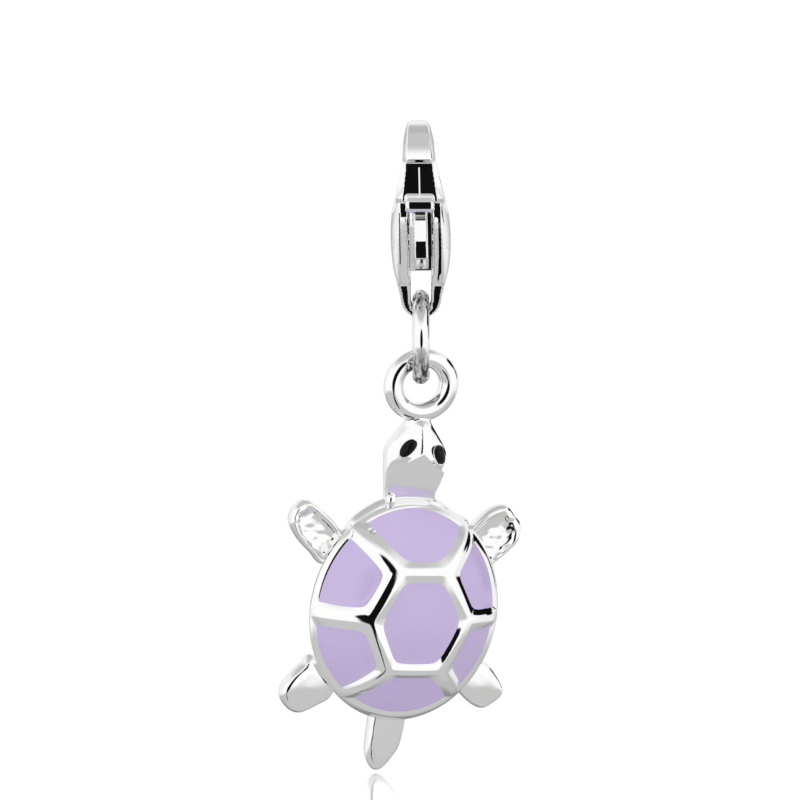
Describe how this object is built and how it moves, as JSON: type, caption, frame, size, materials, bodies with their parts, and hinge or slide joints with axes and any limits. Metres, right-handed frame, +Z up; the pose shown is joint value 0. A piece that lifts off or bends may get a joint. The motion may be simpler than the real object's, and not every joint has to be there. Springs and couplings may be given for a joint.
{
  "type": "turtle charm",
  "caption": "Clip-on turtle charm: a trigger clasp, a jump ring and a silver turtle whose domed shell has raised bars around lilac enamel cells, hung from a loop at its head.",
  "frame": {"origin": "top of the hook's opening in the clasp, where the charm hangs", "axes": "+Z up along the hanging charm; the clasp's gate and the turtle's back face -Y, the back turned 22 degrees towards +X"},
  "size_m": [0.0122, 0.0068, 0.0332],
  "materials": {
    "silver": "polished silver",
    "clasp_silver": "polished silver of the ring, the lever and its rivet",
    "lilac_enamel": "glossy lilac enamel",
    "black_enamel": "glossy black enamel"
  },
  "bodies": {
    "clasp": {"clasp_body": "silver", "clasp_rivet": "clasp_silver"},
    "lever": {"clasp_lever": "clasp_silver"},
    "ring": {"jump_ring": "clasp_silver"},
    "turtle": {"turtle_body": "silver", "enamel_centre": "lilac_enamel", "enamel_top": "lilac_enamel", "enamel_upper_right": "lilac_enamel", "enamel_lower_right": "lilac_enamel", "enamel_bottom": "lilac_enamel", "enamel_lower_left": "lilac_enamel", "enamel_upper_left": "lilac_enamel", "eye_left": "black_enamel", "eye_right": "black_enamel"}
  },
  "joints": [
    {"name": "lever_pivot", "type": "hinge", "parent": "clasp", "child": "lever", "pos_m": [0, -0.0009, -0.0049], "axis": [-1, 0, 0], "range_deg": [0, 30], "stiffness_Nm_per_rad": 0.001, "springref_deg": -11.46},
    {"name": "ring_swing", "type": "hinge", "parent": "clasp", "child": "ring", "pos_m": [0, 0, -0.00866], "axis": [1, 0, 0], "range_deg": [-60, 60]},
    {"name": "turtle_swing", "type": "hinge", "parent": "ring", "child": "turtle", "pos_m": [0, 0, -0.01182], "axis": [0, 1, 0], "range_deg": [-60, 60]}
  ]
}
